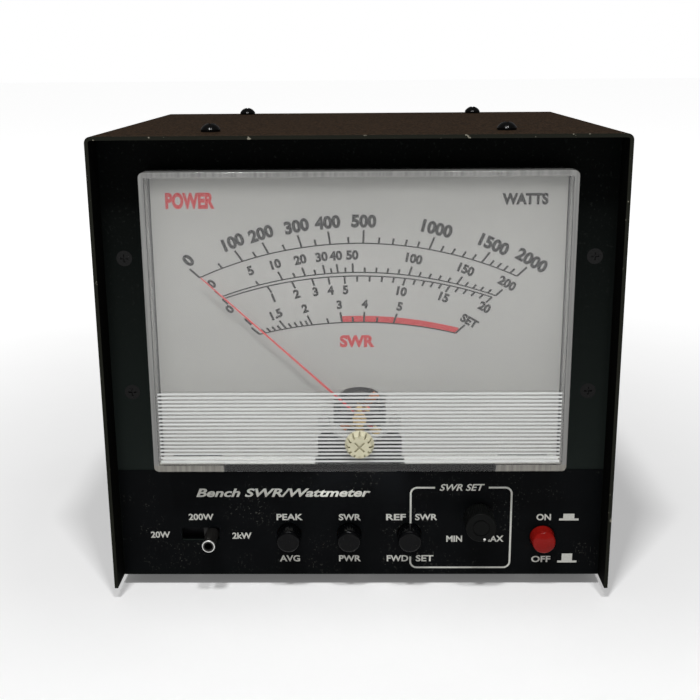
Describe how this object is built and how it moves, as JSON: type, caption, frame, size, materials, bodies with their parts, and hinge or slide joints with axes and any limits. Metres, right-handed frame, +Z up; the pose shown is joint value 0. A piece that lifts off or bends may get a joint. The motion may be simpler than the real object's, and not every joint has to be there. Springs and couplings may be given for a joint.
{
  "type": "swr meter",
  "caption": "Bench SWR and power meter: folded steel case with a large ribbed-window needle meter, a range lever, push buttons and a setting knob, and coaxial sockets behind.",
  "frame": {"origin": "centre of the case's footprint, on the surface it stands on (under the rubber feet)", "axes": "+X to the right seen from the front, across the meter; +Y from the front panel to the rear sockets; +Z up"},
  "size_m": [0.203, 0.1944, 0.1918],
  "materials": {
    "cover_paint": "satin black paint with a brown sheen",
    "panel_paint": "satin black paint",
    "tray_paint": "satin black paint",
    "printed_overlay": "semi-matt black film",
    "black_screw": "black oxide",
    "zinc_steel": "bright zinc plate",
    "foot_rubber": "matt",
    "clear_window": "clear moulded acrylic",
    "black_moulding": "fine texture",
    "dial_paint": "satin light grey paint",
    "nickel_screw": "nickel plate",
    "blackened_bridge": "blackened metal",
    "turned_brass": "turned",
    "cast_lugs": "die cast",
    "soft_iron": "turned",
    "cast_magnet": "ground",
    "enamelled_copper": "enamelled wire",
    "pivot_steel": "polished",
    "needle_red": "thin red paint",
    "spring_bronze": "bright",
    "cream_nylon": "moulded nylon",
    "beige_diffuser": "milky",
    "bulb_glass": "clear",
    "switch_moulding": "moulded",
    "plunger_plastic": "moulded",
    "black_lever": "glossy",
    "black_button": "soft gloss",
    "red_button": "soft gloss",
    "pot_alloy": "pressed",
    "shaft_alloy": "turned",
    "knob_plastic": "fluted moulding",
    "board_laminate": "paper laminate board",
    "nickel_brass": "nickel-plated brass",
    "nickel_plate": "nickel plate",
    "socket_insulation": "moulded insulator",
    "tinplate": "tinned",
    "coax_sleeve": "solid dielectric",
    "ferrite": "sintered",
    "jack_plastic": "moulded"
  },
  "bodies": {
    "case": {"board_standoffs": "nickel_brass", "bracket_screws": "black_screw", "chassis_tray": "tray_paint", "control_board": "board_laminate", "core_support": "turned_brass", "coupler_box": "tinplate", "coupler_lid": "tinplate", "coupler_line": "coax_sleeve", "coupler_toroid": "ferrite", "cover": "cover_paint", "cover_screws": "black_screw", "dial_plate": "dial_paint", "dial_screws": "nickel_screw", "front_panel": "panel_paint", "hairsprings": "spring_bronze", "jewel_screws": "turned_brass", "lamp_diffusers": "beige_diffuser", "lamps": "bulb_glass", "machine_screws": "zinc_steel", "magnet_core": "cast_magnet", "meter_base": "black_moulding", "meter_brackets": "zinc_steel", "meter_terminals": "turned_brass", "meter_window": "clear_window", "movement_bridge": "blackened_bridge", "movement_frame": "cast_lugs", "panel_overlay": "printed_overlay", "pot_body": "pot_alloy", "push_switch_bodies": "switch_moulding", "range_switch_body": "switch_moulding", "rear_bridge": "cast_lugs", "rubber_feet": "foot_rubber", "socket_bodies": "nickel_plate", "socket_contacts": "turned_brass", "socket_insulators": "socket_insulation", "socket_nuts": "zinc_steel", "socket_screws": "zinc_steel", "supply_jack": "jack_plastic", "supply_jack_nut": "zinc_steel", "terminal_nuts": "turned_brass", "toroid_winding": "enamelled_copper", "yoke_ring": "soft_iron"},
    "needle": {"pointer": "needle_red", "balance_weights": "turned_brass", "moving_coil": "enamelled_copper", "spindles": "pivot_steel"},
    "zero_adjuster": {"zero_adjuster": "cream_nylon"},
    "zero_arm": {"zero_arm": "turned_brass"},
    "range_lever": {"range_lever": "black_lever"},
    "peak_button": {"peak_button": "black_button", "peak_plunger": "plunger_plastic"},
    "mode_button": {"mode_button": "black_button", "mode_plunger": "plunger_plastic"},
    "reflected_button": {"reflected_button": "black_button", "reflected_plunger": "plunger_plastic"},
    "power_button": {"power_button": "red_button", "power_plunger": "plunger_plastic"},
    "setting_knob": {"knob": "knob_plastic", "pot_shaft": "shaft_alloy"}
  },
  "joints": [
    {"name": "needle_swing", "type": "hinge", "parent": "case", "child": "needle", "pos_m": [0, -0.0728, 0.0773], "axis": [0, 1, 0], "range_deg": [-1.5, 93.5], "stiffness_Nm_per_rad": 0.0001, "deforming": ["hairsprings"]},
    {"name": "zero_adjust_turn", "type": "hinge", "parent": "case", "child": "zero_adjuster", "pos_m": [0, -0.0928, 0.0681], "axis": [0, 1, 0], "range_deg": [-15, 15]},
    {"name": "zero_arm_turn", "type": "hinge", "parent": "case", "child": "zero_arm", "pos_m": [0, -0.0893, 0.0773], "axis": [0, 1, 0], "range_deg": [-5.5, 5.5]},
    {"name": "range_slide", "type": "slide", "parent": "case", "child": "range_lever", "axis": [-1, 0, 0], "range_m": [0, 0.0098]},
    {"name": "peak_push", "type": "slide", "parent": "case", "child": "peak_button", "axis": [0, 1, 0], "range_m": [0, 0.003], "stiffness_N_per_m": 400},
    {"name": "mode_push", "type": "slide", "parent": "case", "child": "mode_button", "axis": [0, 1, 0], "range_m": [0, 0.003], "stiffness_N_per_m": 400},
    {"name": "reflected_push", "type": "slide", "parent": "case", "child": "reflected_button", "axis": [0, 1, 0], "range_m": [0, 0.003], "stiffness_N_per_m": 400},
    {"name": "power_push", "type": "slide", "parent": "case", "child": "power_button", "axis": [0, 1, 0], "range_m": [0, 0.003], "stiffness_N_per_m": 400},
    {"name": "knob_turn", "type": "hinge", "parent": "case", "child": "setting_knob", "pos_m": [0.0492, -0.0828, 0.0313], "axis": [0, 1, 0], "range_deg": [-300, 0]}
  ],
  "couplings": [
    {"joint": "zero_arm_turn", "follows": "zero_adjust_turn", "ratio": -0.353}
  ]
}
